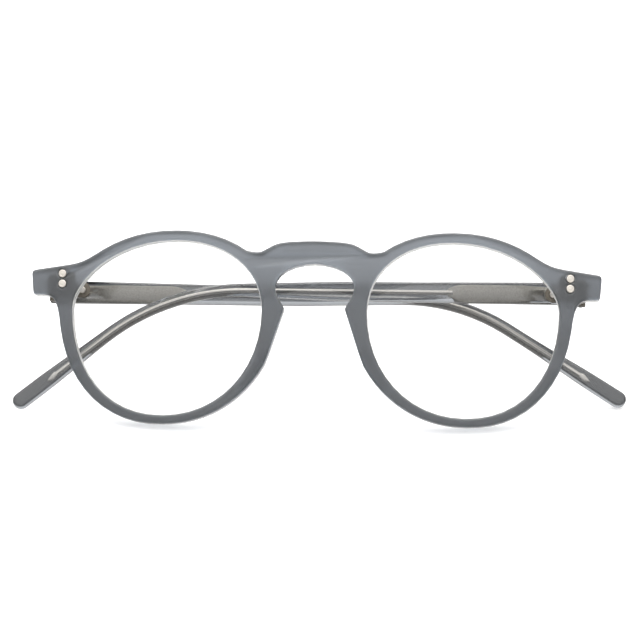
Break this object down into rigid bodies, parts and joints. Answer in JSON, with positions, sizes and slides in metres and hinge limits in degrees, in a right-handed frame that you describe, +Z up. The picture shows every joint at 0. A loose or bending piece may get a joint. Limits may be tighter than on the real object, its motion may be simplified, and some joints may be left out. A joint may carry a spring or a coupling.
{
  "type": "eyeglass frame",
  "caption": "Round keyhole-bridge eyeglass frame in translucent grey acetate, without lenses, with riveted hinges and wire-cored temples folded behind the front",
  "frame": {"origin": "middle of the frame's outline on the table, under its bounding box", "axes": "+X to the wearer's left, -Y the way the front faces, +Z up; the front leans back from the table"},
  "size_m": [0.156, 0.0334, 0.0462],
  "materials": {
    "smoke_acetate": "tumbled translucent smoke grey",
    "nickel_silver": "satin",
    "screw_steel": "turned, satin",
    "core_metal": "brushed along its length"
  },
  "bodies": {
    "front": {"front": "smoke_acetate", "nose_pad_left": "smoke_acetate", "front_hinge_leaf_left": "nickel_silver", "front_rivet_left_upper": "nickel_silver", "front_rivet_left_lower": "nickel_silver", "hinge_screw_left": "screw_steel", "nose_pad_right": "smoke_acetate", "front_hinge_leaf_right": "nickel_silver", "front_rivet_right_upper": "nickel_silver", "front_rivet_right_lower": "nickel_silver", "hinge_screw_right": "screw_steel"},
    "temple_left": {"temple_left": "smoke_acetate", "core_left": "core_metal", "temple_hinge_leaf_left": "nickel_silver", "temple_rivet_left_near": "nickel_silver", "temple_rivet_left_far": "nickel_silver"},
    "temple_right": {"temple_right": "smoke_acetate", "core_right": "core_metal", "temple_hinge_leaf_right": "nickel_silver", "temple_rivet_right_near": "nickel_silver", "temple_rivet_right_far": "nickel_silver"}
  },
  "joints": [
    {"name": "hinge_left", "type": "hinge", "parent": "front", "child": "temple_left", "pos_m": [0.06603, 0.01001, 0.02811], "axis": [0, -0.5609, -0.8279], "range_deg": [0, 93]},
    {"name": "hinge_right", "type": "hinge", "parent": "front", "child": "temple_right", "pos_m": [-0.06828, 0.01001, 0.02811], "axis": [0, 0.5609, 0.8279], "range_deg": [0, 89.5]}
  ]
}
